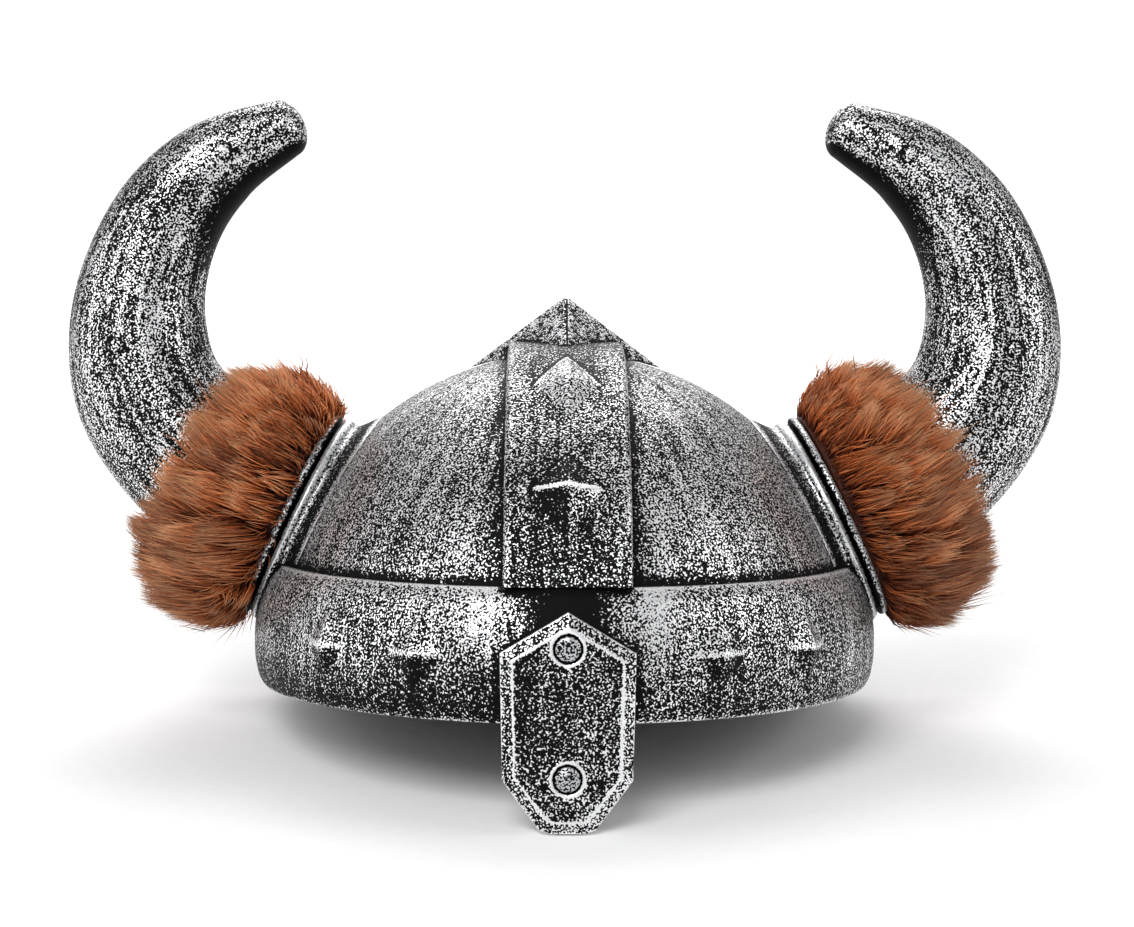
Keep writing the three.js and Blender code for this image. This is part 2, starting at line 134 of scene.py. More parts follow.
def antique_silver(name, cover, silver, streaks=0.35):
    """Antique silver: silver paint rubbed with a dry brush over near-black paint on moulded foam plastic.
    It gives the eye bright worms and specks on black, almost solid on edges and missing from corners, which
    also carry painted shade.
    Cover moves the share that the silver takes, from -1 to 1, and streaks is how much the strokes show."""
    material, tree = new_material(name)
    place = add(tree, "ShaderNodeTexCoord", {}).outputs["Object"]
    stroke = add(tree, "ShaderNodeAttribute", {}, attribute_name="brush").outputs["Vector"]
    worn = add(tree, "ShaderNodeAttribute", {}, attribute_name="worn").outputs["Fac"]
    corner_shade = add(tree, "ShaderNodeAttribute", {}, attribute_name="corner_shade").outputs["Fac"]
    rub_and_painted_light = add(tree, "ShaderNodeAttribute", {}, attribute_name="rub_and_painted_light").outputs["Fac"]

    grain = add(tree, "ShaderNodeTexNoise", {
        "Vector": place, "Scale": 1000 / grain_size, "Detail": 0.3, "Roughness": 0.5, "Distortion": 0.3,
    }).outputs["Fac"]
    strokes = add(tree, "ShaderNodeMapping", {
        "Vector": stroke, "Scale": (1 / brush_width, 1 / brush_width, 1 / brush_length),
    }).outputs["Vector"]
    streak = add(tree, "ShaderNodeTexNoise", {
        "Vector": strokes, "Scale": 1, "Detail": 4, "Roughness": 0.6,
    }).outputs["Fac"]
    patch = add(tree, "ShaderNodeTexNoise", {
        "Vector": place, "Scale": 1000 / patch_size, "Detail": 2, "Roughness": 0.5,
    }).outputs["Fac"]
    dent = add(tree, "ShaderNodeTexNoise", {
        "Vector": place, "Scale": 1000 / dent_size, "Detail": 1, "Roughness": 0.5,
    }).outputs["Fac"]

    # Painted light: the silver thins with painted shade in corners, and some pieces add painted highlights
    # and shade to the brush's rub.
    weights = [(streak, streaks), (patch, patch_share), (worn, 0.27), (corner_shade, -0.45), (rub_and_painted_light, 0.4)]
    taken = grain
    for value, weight in weights:
        taken = add(tree, "ShaderNodeMath", {
            0: value, 1: weight, 2: taken,
        }, operation="MULTIPLY_ADD").outputs[0]
    middle = 0.5 + 0.5 * streaks + 0.5 * patch_share - 0.2 * cover
    mask = add(tree, "ShaderNodeMapRange", {
        "Value": taken, "From Min": middle - grain_softness, "From Max": middle + grain_softness,
    }, interpolation_type="SMOOTHSTEP").outputs[0]

    paint = add(tree, "ShaderNodeMix", {
        0: mask, 6: linear("#060607"), 7: linear(silver),
    }, data_type="RGBA").outputs[2]
    metal = add(tree, "ShaderNodeMath", {0: mask, 1: 0.8}, operation="MULTIPLY").outputs[0]
    rough = add(tree, "ShaderNodeMapRange", {"Value": mask, "To Min": 0.6, "To Max": 0.34}).outputs[0]
    dents = add(tree, "ShaderNodeBump", {
        "Height": dent, "Strength": 0.6, "Distance": dent_relief / 1000,
    }).outputs["Normal"]
    bump = add(tree, "ShaderNodeBump", {
        "Height": grain, "Strength": 0.8, "Distance": grain_relief / 1000, "Normal": dents,
    }).outputs["Normal"]
    shader = add(tree, "ShaderNodeBsdfPrincipled", {
        "Base Color": paint, "Metallic": metal, "Roughness": rough, "Normal": bump,
        "Specular IOR Level": 0.08,
    }).outputs["BSDF"]
    add(tree, "ShaderNodeOutputMaterial", {"Surface": shader})
    return material


def moulded_inside():
    """Bare foam plastic of the inside, dyed black: matt, and lightly pebbled by the mould."""
    material, tree = new_material("moulded_black_plastic")
    place = add(tree, "ShaderNodeTexCoord", {}).outputs["Object"]
    pebble = add(tree, "ShaderNodeTexNoise", {
        "Vector": place, "Scale": 1000 / 2.5, "Detail": 2,
    }).outputs["Fac"]
    bump = add(tree, "ShaderNodeBump", {
        "Height": pebble, "Strength": 0.5, "Distance": 0.0003,
    }).outputs["Normal"]
    tint = add(tree, "ShaderNodeMix", {
        0: pebble, 6: linear("#121213"), 7: linear("#262627"),
    }, data_type="RGBA").outputs[2]
    shader = add(tree, "ShaderNodeBsdfPrincipled", {
        "Base Color": tint, "Roughness": 0.62, "Normal": bump,
    }).outputs["BSDF"]
    add(tree, "ShaderNodeOutputMaterial", {"Surface": shader})
    return material


def worn_edges(mesh, rounds, soft, hard):
    """Stores as worn how sharply each vertex stands out from its neighbours, from 0 to 1."""
    count = len(mesh.vertices)
    places = np.empty(count * 3)
    mesh.vertices.foreach_get("co", places)
    normals = np.empty(count * 3)
    mesh.vertices.foreach_get("normal", normals)
    ends = np.empty(len(mesh.edges) * 2, dtype=np.int64)
    mesh.edges.foreach_get("vertices", ends)
    places, normals, ends = places.reshape(-1, 3), normals.reshape(-1, 3), ends.reshape(-1, 2)
    a, b = ends[:, 0], ends[:, 1]
    step = places[b] - places[a]
    step /= np.maximum(np.linalg.norm(step, axis=1), 1e-9)[:, None]
    degree = np.bincount(a, minlength=count) + np.bincount(b, minlength=count)
    value = np.bincount(a, weights=-(normals[a] * step).sum(axis=1), minlength=count)
    value += np.bincount(b, weights=(normals[b] * step).sum(axis=1), minlength=count)
    value /= degree
    for unused_round in range(rounds):
        spread = np.bincount(a, weights=value[b], minlength=count)
        spread += np.bincount(b, weights=value[a], minlength=count)
        value = 0.5 * value + 0.5 * spread / degree
    value = np.clip((value - soft) / (hard - soft), 0, 1)
    mesh.attributes.new("worn", "FLOAT", "POINT").data.foreach_set("value", value)


silver_pieces = []


def new_object(bm, name, materials=()):
    """An object in the scene, made of a finished bmesh."""
    mesh = bpy.data.meshes.new(name)
    bm.to_mesh(mesh)
    bm.free()
    mesh.shade_smooth()
    for material in materials:
        mesh.materials.append(material)
    made = bpy.data.objects.new(name, mesh)
    bpy.context.scene.collection.objects.link(made)
    return made


def piece(bm, name, materials, slot, *nodes):
    """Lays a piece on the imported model, in place of its CAD nodes."""
    bm.transform(at_rest)
    made = new_object(bm, name, materials)
    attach(made, "root")
    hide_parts(*nodes)
    return made


def silver_piece(bm, name, materials, slot, *nodes, rounds=1, soft=0.03, hard=0.16):
    """A piece of the painted shell, with its worn edges marked."""
    made = piece(bm, name, materials, slot, *nodes)
    made.data.set_sharp_from_angle(angle=math.radians(45))
    worn_edges(made.data, rounds, soft, hard)
    silver_pieces.append(made)
    return made


def mark_brush(bm, stroke):
    """Stores the place of each vertex as the brush meets it: two ways across its stroke and one along."""
    layer = bm.verts.layers.float_vector.new("brush")
    for vert in bm.verts:
        vert[layer] = stroke(vert.co)


def mark_rub_and_painted_light(bm, rub_and_painted_light):
    """Stores where the brush pressed on the silver and where a piece paints a highlight, up to 1, and where
    it left the black and where a piece paints shade, down to -1.
    """
    layer = bm.verts.layers.float.new("rub_and_painted_light")
    for vert in bm.verts:
        vert[layer] = rub_and_painted_light(vert.co)


def whole_oval(grow, sides):
    """The oval that the dome is part of, with its surface moved outwards by an amount."""
    bm = bmesh.new()
    bmesh.ops.create_uvsphere(bm, u_segments=sides, v_segments=sides // 2, radius=1)
    half_sizes = (dome_half_width, dome_half_length, dome_crown)
    bmesh.ops.scale(bm, vec=[half + grow for half in half_sizes], verts=bm.verts)
    bmesh.ops.translate(bm, vec=(0, 0, dome_level), verts=bm.verts)
    return bm


def upper_oval(grow, sides):
    """The part of the same oval above the rim, open below."""
    bm = whole_oval(grow, sides)
    everything = bm.verts[:] + bm.edges[:] + bm.faces[:]
    bmesh.ops.bisect_plane(bm, geom=everything, plane_co=(0, 0, 0), plane_no=(0, 0, 1), clear_inner=True)
    return bm


def dome_shell():
    bm = upper_oval(0, dome_sides)
    lining = upper_oval(-dome_wall, lining_sides)
    bmesh.ops.reverse_faces(lining, faces=lining.faces)
    for face in lining.faces:
        face.material_index = 1
    held = bpy.data.meshes.new("lining")
    lining.to_mesh(held)
    lining.free()
    bm.from_mesh(held)
    bpy.data.meshes.remove(held)
    rims = [edge for edge in bm.edges if edge.is_boundary]
    bmesh.ops.bridge_loops(bm, edges=rims)
    mark_brush(bm, lambda p: (math.atan2(p.y, p.x) * dome_brush_radius, 0, p.z))
    return bm


dome_silver = antique_silver("antique_silver_dome", -0.28, "#f0f0f1")
inside_black = moulded_inside()
silver_piece(dome_shell(), "silver_dome", [dome_silver, inside_black], "dome_silver", "dome_shell")

# Brow band
# A raised band moulded round the foot of the dome, bulging a little and with a crisp upper edge. Low
# diamond studs stand on it, two on each side of the nose and the same behind.
band_height = 36.4
band_thickness = 5.6
band_steps = 640
band_rows = 44
band_brush_radius = 100
band_stud_width = 17
band_stud_height = 20
band_stud_relief = 2.9
band_section = [
    {"up": 0, "out": 0.62},
    {"up": 0.05, "out": 0.8},
    {"up": 0.2, "out": 0.94},
    {"up": 0.45, "out": 1},
    {"up": 0.72, "out": 0.95},
    {"up": 0.92, "out": 0.8},
    {"up": 1, "out": 0.5},
]
band_stud_turns = [26, 45]
# Painted light on the band's studs: a painted highlight along the level ridge and painted shade on the lower
# facets.
band_stud_painted_light = {
    "upper": 0.06, "lower_left": -0.2, "lower_right": -0.26, "ridge": 0.3, "rim": 0, "outline": 0,
}
# The top of the band gets a painted highlight; from the middle down it darkens towards the foot, more on the
# left.
band_rub_and_light = {"whole": -0.08, "top": 0.25, "foot": -0.6, "foot_to_left": -0.3}
# Painted shade on the band just over the top of the nose guard, where the two meet.
shade_over_nose = {"height": 32, "reach": 9, "stretch": 1.6, "rub_and_painted_light": -1.3}
# A painted highlight on the upper band on each side of the nose guard.
highlight_beside_nose = {"across": 24, "reach": 8, "above": 12, "rub_and_painted_light": 0.35}


def column(rows, name):
    return [row[name] for row in rows]


def clamp(value):
    """The value, kept between 0 and 1."""
    return min(1, max(0, value))


def smoothed(values, rounds):
    """The same values, each drawn a few times towards the mean of its neighbours; the ends stay."""
    values = np.array(values, dtype=float)
    for unused_round in range(rounds):
        values[1:-1] = 0.5 * values[1:-1] + 0.25 * (values[:-2] + values[2:])
    return values


def spun_ring(section, steps):
    """Closed ring spun round Z from the points of its section, each a radius and a height."""
    bm = bmesh.new()
    corners = [bm.verts.new((radius, 0, height)) for radius, height in section]
    sides = [bm.edges.new(pair) for pair in zip(corners, corners[1:] + corners[:1])]
    bmesh.ops.spin(
        bm, geom=corners + sides, cent=(0, 0, 0), axis=(0, 0, 1), angle=math.tau, steps=steps, use_merge=True,
    )
    bmesh.ops.recalc_face_normals(bm, faces=bm.faces)
    return bm


def diamond(across, up, half_width, above, below, relief, lean=0):
    """Height of a four-sided pyramid over a point of its base; a lean draws its tip downwards."""
    upper = (1 - abs(across) / half_width - up / above) / (1 + lean / above)
    lower = (1 - abs(across) / half_width + up / below) / (1 - lean / below)
    return relief * max(0, min(upper, lower))


def facet_rub_and_light(across, up, rub_and_painted_light, half_height):
    """Rub and painted light on the facets, level ridge and upper rim of a stud, and painted shade in the
    crease just outside its upper edges, from shares of its half sizes.
    """
    edge = abs(across) + abs(up)
    if edge > 1.25:
        return 0
    inside = clamp((1.02 - edge) * 8)
    if up > 0:
        facet = rub_and_painted_light["upper"]
    else:
        facet = rub_and_painted_light["lower_left"] if across < 0 else rub_and_painted_light["lower_right"]
    ridge = clamp(1.6 - abs(up) * half_height / 0.75) * inside
    rim = max(0, 1 - abs(edge - 0.95) * 20) if up > 0 else 0
    outline = max(0, 1 - abs(edge - 1.06) * 16) if up > 0 else 0
    return facet * inside * (1 - ridge) + rub_and_painted_light["ridge"] * ridge + rub_and_painted_light["rim"] * rim + rub_and_painted_light["outline"] * outline


def brow_band():
    ups = np.linspace(0, 1, band_rows)
    outs = smoothed(np.interp(ups, column(band_section, "up"), column(band_section, "out")), 2)
    section = [(dome_half_length + out * band_thickness, up * band_height) for up, out in zip(ups, outs)]
    section += [(dome_half_length + clearance, up * band_height) for up in (1, 0.5, 0)]
    bm = spun_ring(section, band_steps)
    studs = []
    for turn in band_stud_turns:
        for end in (-math.pi / 2, math.pi / 2):
            studs += [end - math.radians(turn), end + math.radians(turn)]
    middle = band_height / 2
    half_height = band_stud_height / 2
    rub_and_light_layer = bm.verts.layers.float.new("rub_and_painted_light")
    for vert in bm.verts:
        angle = math.atan2(vert.co.y, vert.co.x)
        out = math.hypot(vert.co.x, vert.co.y) - dome_half_length
        height = vert.co.z
        half_width = dome_half_width * oval_share(height)
        half_length = dome_half_length * oval_share(height)
        above = height / band_height - 0.5
        # Painted highlight along the top; darker towards the foot, more on the left.
        foot = band_rub_and_light["foot"] - band_rub_and_light["foot_to_left"] * math.cos(angle)
        vert[rub_and_light_layer] = band_rub_and_light["whole"] + band_rub_and_light["top"] * max(0, above) - foot * min(0, above + 0.1)
        if out > 2 * clearance:
            for stud in studs:
                turn = (angle - stud + math.pi) % math.tau - math.pi
                pace = math.hypot(half_width * math.sin(stud), half_length * math.cos(stud))
                across, up = turn * pace, height - middle
                out += diamond(across, up, band_stud_width / 2, half_height, half_height, band_stud_relief)
                vert[rub_and_light_layer] += facet_rub_and_light(
                    across / band_stud_width * 2, up / half_height, band_stud_painted_light, half_height,
                )
        vert.co = (
            (half_width + out) * math.cos(angle),
            (half_length + out) * math.sin(angle),
            height,
        )
    mark_brush(bm, lambda p: (math.atan2(p.y, p.x) * band_brush_radius, 0, p.z))
    for vert in bm.verts:
        if vert.co.y < 0:
            x, y, z = vert.co
            nose_shade, nose_highlight = shade_over_nose, highlight_beside_nose
            # Painted shade over the top of the nose guard.
            away = math.hypot(x / nose_shade["stretch"], z - nose_shade["height"])
            vert[rub_and_light_layer] += nose_shade["rub_and_painted_light"] * clamp(1 - away / nose_shade["reach"])
            # A painted highlight each side of the nose guard, on the upper band.
            beside = clamp(1 - abs(abs(x) - nose_highlight["across"]) / nose_highlight["reach"])
            vert[rub_and_light_layer] += nose_highlight["rub_and_painted_light"] * beside * clamp(z / nose_highlight["above"] - 1)
    return bm


trim_silver = antique_silver("antique_silver_trim", -0.23, "#f0f0f1")
silver_piece(
    brow_band(), "silver_brow_band", [trim_silver], "trim_silver", "brow_band",
    rounds=2, soft=0.02, hard=0.25,
)

# Ridge strip
# A flat strip moulded over the crown from the band in front to the band behind, with softened edges. Two
# pyramid studs on each half lean down towards the band, so that their lower faces stay dark.
strip_width = 35.5
strip_thickness = 3.5
strip_edge = 1.6
strip_edge_bow = {"in": 0.5, "up": 1.1}
strip_steps = 400
strip_rows = 48
strip_brush_radius = 100
strip_stud_width = 20
strip_stud_relief = 4.3
strip_studs = [
    {"climb": 34, "lean": 30, "above": 0.6, "below": 0.85},
    {"climb": 59, "lean": 20, "above": 1.15, "below": 0.95},
]
strip_rub = {"whole": -0.17, "foot": -0.13, "top": -0.1, "sides": 0.1}
# Per stud, the rub of its facets, ridge and upper rim, with painted light: the upper stud's lower faces are
# lightened against the shade they lean into, and both get painted shade in the crease just above their upper
# edges.
strip_stud_rubs_and_light = [
    {"upper": -0.25, "lower_left": -0.25, "lower_right": 0.15, "ridge": 0.9, "rim": 0.2, "outline": -0.8},
    {"upper": 0.22, "lower_left": 0.3, "lower_right": 0.26, "ridge": 0.1, "rim": 0.7, "outline": -0.8},
]


def ridge_strip():
    half_width = strip_width / 2
    flat = half_width - strip_edge
    bowed = half_width - strip_edge_bow["in"]
    acrosses = [-half_width, -half_width, -bowed, *np.linspace(-flat, flat, strip_rows)]
    acrosses += [bowed, half_width, half_width, half_width / 3, -half_width / 3]
    edge_lift = strip_thickness - strip_edge
    bow_lift = edge_lift + strip_edge_bow["up"]
    lifts = [clearance, edge_lift, bow_lift] + [strip_thickness] * strip_rows
    lifts += [bow_lift, edge_lift, clearance, clearance, clearance]
    foot = math.asin((band_height + clearance - dome_level) / (dome_crown + strip_thickness))
    bm = bmesh.new()
    corners = []
    for across, lift in zip(acrosses, lifts):
        reach = dome_half_length + lift
        corners.append(bm.verts.new((across, -reach * math.cos(foot), reach * math.sin(foot))))
    sides = [bm.edges.new(pair) for pair in zip(corners, corners[1:] + corners[:1])]
    bmesh.ops.spin(
        bm, geom=corners + sides, cent=(0, 0, 0), axis=(-1, 0, 0), angle=math.pi - 2 * foot,
        steps=strip_steps,
    )
    bmesh.ops.holes_fill(bm, edges=[edge for edge in bm.edges if edge.is_boundary], sides=0)
    bmesh.ops.recalc_face_normals(bm, faces=bm.faces)
    layer = bm.verts.layers.float_vector.new("brush")
    rub_and_light_layer = bm.verts.layers.float.new("rub_and_painted_light")
    for vert in bm.verts:
        climb = math.atan2(vert.co.z, -vert.co.y)
        lift = math.hypot(vert.co.y, vert.co.z) - dome_half_length
        vert[layer] = (vert.co.x, 0, climb * strip_brush_radius)
        slope = min(climb, math.pi - climb)
        vert[rub_and_light_layer] = strip_rub["whole"] + strip_rub["foot"] * clamp((0.62 - slope) / 0.3)
        vert[rub_and_light_layer] += strip_rub["top"] * clamp((slope - 1.02) / 0.12)
        vert[rub_and_light_layer] += strip_rub["sides"] * clamp((abs(vert.co.x) - 9.5) / 3)
        if lift > strip_thickness - 0.01:
            for stud, rub_and_painted_light in zip(strip_studs, strip_stud_rubs_and_light):
                angle = math.radians(stud["climb"])
                pace = math.hypot(dome_half_length * math.sin(angle), dome_crown * math.cos(angle))
                up = (slope - angle) * pace
                above = stud["above"] * strip_stud_width
                below = stud["below"] * strip_stud_width
                lean = strip_stud_relief * math.tan(math.radians(stud["lean"]))
                lift += diamond(vert.co.x, up, strip_stud_width / 2, above, below, strip_stud_relief, lean)
                half_height = above if up > 0 else below
                vert[rub_and_light_layer] += facet_rub_and_light(
                    vert.co.x / strip_stud_width * 2, up / half_height, rub_and_painted_light, half_height,
                )
        vert.co = (
            vert.co.x,
            -(dome_half_length + lift) * math.cos(climb),
            max(band_height + clearance, dome_level + (dome_crown + lift) * math.sin(climb)),
        )
    return bm


silver_piece(ridge_strip(), "silver_ridge_strip", [trim_silver], "trim_silver", "ridge_strip", hard=0.45)

# Crown peak
# A four-sided pyramid with a diamond plan that stands over the strip on the very top. Its faces run
# down on to the dome. The brush went over it hard, and left a black line on the right of its front ridge.
peak_rise = 14.7
peak_shoulder = 1.7
peak_edge = 0.9
peak_cuts = 26
peak_foot_sides = 96
peak_rub = {"faces": -0.1, "left_of_ridge": -0.3, "right_of_ridge": -1.3}


def carved(bm, cutter):
    """The first solid with the second taken away, through a boolean modifier that is then applied."""
    kept, cutting = new_object(bm, "kept"), new_object(cutter, "cutter")
    change = kept.modifiers.new("cut", "BOOLEAN")
    change.object = cutting
    change.operation = "DIFFERENCE"
    change.solver = "EXACT"
    bpy.context.view_layer.update()
    result = bmesh.new()
    result.from_object(kept, bpy.context.evaluated_depsgraph_get())
    for done in (kept, cutting):
        mesh = done.data
        bpy.data.objects.remove(done)
        bpy.data.meshes.remove(mesh)
    return result


def crown_peak():
    strip_top = dome_level + dome_crown + strip_thickness
    height = 3 * peak_rise
    half_diagonal = (strip_width / 2 + peak_shoulder) / peak_rise * height
    bm = bmesh.new()
    bmesh.ops.create_cone(
        bm, cap_ends=True, cap_tris=False, segments=4, radius1=half_diagonal, radius2=0, depth=height,
    )
    bmesh.ops.translate(bm, vec=(0, 0, strip_top + peak_rise - height / 2), verts=bm.verts)
    ridges = [edge for edge in bm.edges if abs(edge.verts[0].co.z - edge.verts[1].co.z) > height / 2]
    bmesh.ops.bevel(
        bm, geom=ridges, offset=peak_edge, offset_type="OFFSET", affect="EDGES", segments=5, profile=0.5,
        material=-1,
    )
    bmesh.ops.subdivide_edges(bm, edges=bm.edges, cuts=peak_cuts, use_grid_fill=True)
    result = carved(bm, whole_oval(clearance, peak_foot_sides))
    mark_brush(result, lambda p: (p.x, p.y, p.z))

    def beside_ridge(p):
        """Rub on the faces, and in a narrow line down both sides of the front and back ridges."""
        if abs(p.x) > 2 / 3 * peak_edge or abs(p.y) < peak_edge:
            return peak_rub["faces"]
        return peak_rub["left_of_ridge"] if p.x < 0 else peak_rub["right_of_ridge"]

    mark_rub_and_painted_light(result, beside_ridge)
    return result


peak_silver = antique_silver("antique_silver_peak", 0.03, "#f0f0f1", streaks=0.7)
silver_piece(crown_peak(), "silver_crown_peak", [peak_silver], "trim_silver", "crown_peak")

# Nose guard and its rivets
# A long six-sided plate that hangs in front of the band and below the rim. Its border slopes up to a
# raised face, and two round rivet heads sit sunk in it, one near each end.
band_front = dome_half_length + band_thickness
nose_width = 36.6
nose_height = 59.4
nose_drop = 28.7
nose_thickness = 4.4
nose_face = band_front + clearance + nose_thickness
nose_back = band_front - 1.4
nose_border = 3.3
nose_bevel_depth = 1.7
nose_grid = 0.42
nose_rub = {"face": -0.2, "bevel": 0.16, "inner_line": 0.9, "rivet_ring": 1.1}
nose_line = 0.65
rivet_ring = 0.7
rivet_ring_rise = 0.3
rivet_sides = 40
rivet_radius = 3.45
rivet_recess = 0.8
rivet_head = 1.1
rivet_heights = [nose_height - nose_drop - 9.5, 14.9 - nose_drop]
nose_outline = [
    {"across": 0, "down": 0},
    {"across": 1, "down": 0.185},
    {"across": 0.96, "down": 0.758},
    {"across": 0.42, "down": 0.982},
    {"across": 0.25, "down": 1},
]


def nose_guard():
    top = nose_height - nose_drop
    side = [(row["across"] * nose_width / 2, top - row["down"] * nose_height) for row in nose_outline]
    corners = side + [(-x, z) for x, z in reversed(side[1:])]
    walls = []
    for (x0, z0), (x1, z1) in zip(corners, corners[1:] + corners[:1]):
        outward = Vector((z0 - z1, 0, x1 - x0)).normalized()
        walls.append((Vector((x0, 0, z0)), -outward if outward.dot(Vector((x0, 0, z0 - 1))) < 0 else outward))

    bm = bmesh.new()
    columns = round(1.1 * nose_width / nose_grid)
    rows = round(1.1 * nose_height / nose_grid)
    bmesh.ops.create_grid(bm, x_segments=columns, y_segments=rows, size=0.5)
    bmesh.ops.scale(bm, vec=(1.1 * nose_width, 1.1 * nose_height, 1), verts=bm.verts)
    bmesh.ops.rotate(bm, cent=(0, 0, 0), matrix=Matrix.Rotation(math.pi / 2, 3, "X"), verts=bm.verts)
    bmesh.ops.translate(bm, vec=(0, 0, top - nose_height / 2), verts=bm.verts)
    for depth in (0, nose_border):
        for point, outward in walls:
            everything = bm.verts[:] + bm.edges[:] + bm.faces[:]
            bmesh.ops.bisect_plane(
                bm, geom=everything, dist=1e-3, plane_co=point - outward * depth, plane_no=outward,
                clear_outer=depth == 0,
            )
    rub_and_light_layer = bm.verts.layers.float.new("rub_and_painted_light")
    front = bm.verts[:]
    grown = bmesh.ops.extrude_face_region(bm, geom=bm.faces[:])["geom"]
    back = {item for item in grown if isinstance(item, bmesh.types.BMVert)}
    for vert in back:
        vert.co.y = -nose_back if vert.co.z < -clearance else -band_front - clearance
    for vert in front:
        inside = min((point - vert.co).dot(outward) for point, outward in walls)
        bevel = clamp(1 - inside / nose_border)
        sunk = nose_bevel_depth * bevel
        vert[rub_and_light_layer] = nose_rub["face"] + nose_rub["bevel"] * (bevel > 0)
        vert[rub_and_light_layer] += nose_rub["inner_line"] * clamp(1 - abs(inside - nose_border) / nose_line)
        for height in rivet_heights:
            away = math.hypot(vert.co.x, vert.co.z - height) - rivet_radius - clearance
            sunk += rivet_recess * clamp(0.5 - away / nose_grid / 2)
            sunk -= rivet_ring_rise * clamp(1 - abs(away - 0.9) / rivet_ring)
            vert[rub_and_light_layer] += nose_rub["rivet_ring"] * clamp(1 - abs(away - rivet_ring) / rivet_ring)
        vert.co.y = -nose_face + sunk
    bmesh.ops.recalc_face_normals(bm, faces=bm.faces)
    mark_brush(bm, lambda p: (p.x, p.y, p.z))
    return bm


def spun_body(section, steps):
    """Closed body spun round Z from the points of its section, which starts and ends on the axis."""
    bm = bmesh.new()
    corners = [bm.verts.new((max(radius, 0), 0, height)) for radius, height in section]
    sides = [bm.edges.new(pair) for pair in zip(corners, corners[1:])]
    bmesh.ops.spin(
        bm, geom=corners + sides, cent=(0, 0, 0), axis=(0, 0, 1), angle=math.tau, steps=steps, use_merge=True,
    )
    bmesh.ops.remove_doubles(bm, verts=bm.verts, dist=1e-3)
    bmesh.ops.recalc_face_normals(bm, faces=bm.faces)
    return bm


def nose_rivet(height):
    foot = rivet_recess - clearance
    section = [(0, 0), (rivet_radius, 0)]
    for turn in np.linspace(0, math.pi / 2, 9):
        section.append((rivet_radius * math.cos(turn), foot + rivet_head * math.sin(turn)))
    bm = spun_body(section, rivet_sides)
    bmesh.ops.rotate(bm, cent=(0, 0, 0), matrix=Matrix.Rotation(math.pi / 2, 3, "X"), verts=bm.verts)
    bmesh.ops.translate(bm, vec=(0, -nose_face + rivet_recess - clearance, height), verts=bm.verts)
    mark_brush(bm, lambda p: (p.x, p.y, p.z))
    return bm


silver_piece(
    nose_guard(), "silver_nose_guard", [trim_silver], "trim_silver", "nose_guard", rounds=2, hard=0.12,
)
rivet_silver = antique_silver("antique_silver_rivet", -0.3, "#c5c6c8")
for name, height in zip(("nose_rivet_upper", "nose_rivet_lower"), rivet_heights):
    silver_piece(nose_rivet(height), "silver_" + name, [rivet_silver], "rivet_silver", name)

# Collars and flanges
# A horn stands on a rounded collar moulded out of the dome: a broad bead on its outer side, a hollow
# behind it and a fine lip where its foot meets the dome. A thin flange on the horn lies over it.
collar_angle = math.radians(25.5)
collar_radius = 34
collar_proud = 2
collar_rows = 44
flange_thickness = 2
flange_rub = -0.4
flange_gap = 0.7
horn_root_radius = 24.5
ring_steps = 220
collar_reach = 1 / math.hypot(math.cos(collar_angle) / dome_half_width, math.sin(collar_angle) / dome_crown)
collar_face = collar_reach + collar_proud
collar_axis = Vector((math.cos(collar_angle), 0, math.sin(collar_angle)))
collar_up = Vector((-math.sin(collar_angle), 0, math.cos(collar_angle)))
dome_centre = Vector((0, 0, dome_level))
collar_profile = [
    {"out": 0, "radius": 6.3},
    {"out": 0.05, "radius": 6.1},
    {"out": 0.1, "radius": 4.6},
    {"out": 0.18, "radius": 2.6},
    {"out": 0.28, "radius": 0.9},
    {"out": 0.4, "radius": -0.3},
    {"out": 0.52, "radius": -0.3},
    {"out": 0.64, "radius": 0.2},
    {"out": 0.78, "radius": 0.4},
    {"out": 0.9, "radius": -0.3},
    {"out": 0.97, "radius": -1.4},
    {"out": 1, "radius": -2.6},
]
# Rub and painted light along the collar, from its foot on the dome (0) to its face (1): painted shade where
# the foot meets the dome and in the concave flare above the lip, the lip bright where the brush catches it,
# and a broad painted highlight over the hollow and the bead.
collar_rub_and_light = [
    {"out": 0, "rub_and_painted_light": -0.4},
    {"out": 0.05, "rub_and_painted_light": 0.4},
    {"out": 0.09, "rub_and_painted_light": 0.1},
    {"out": 0.14, "rub_and_painted_light": -0.6},
    {"out": 0.26, "rub_and_painted_light": -0.3},
    {"out": 0.36, "rub_and_painted_light": 0.4},
    {"out": 0.6, "rub_and_painted_light": 0.6},
    {"out": 0.9, "rub_and_painted_light": 0.65},
    {"out": 1, "rub_and_painted_light": -0.3},
]


def dome_along_axis(up, side):
    """How far out along the collar's axis a line beside the axis meets the dome."""
    cos, sin = math.cos(collar_angle), math.sin(collar_angle)
    a = (cos / dome_half_width) ** 2 + (sin / dome_crown) ** 2
    b = up * cos * sin * (1 / dome_crown ** 2 - 1 / dome_half_width ** 2)
    c = (up * sin / dome_half_width) ** 2 + (up * cos / dome_crown) ** 2 + (side / dome_half_length) ** 2 - 1
    return (-b + math.sqrt(b * b - a * c)) / a


def lay_on_collar_axis(bm):
    """Lays a ring spun round Z on the collar's axis: X runs up the dome, Y forward and Z outwards."""
    for vert in bm.verts:
        x, y, z = vert.co
        vert.co = dome_centre + collar_axis * z + collar_up * x - Vector((0, y, 0))


def mark_ring_brush(bm, radius):
    """The brush follows the ring: its stroke runs round Z."""
    mark_brush(bm, lambda p: (math.hypot(p.x, p.y), p.z, math.atan2(p.y, p.x) * radius))


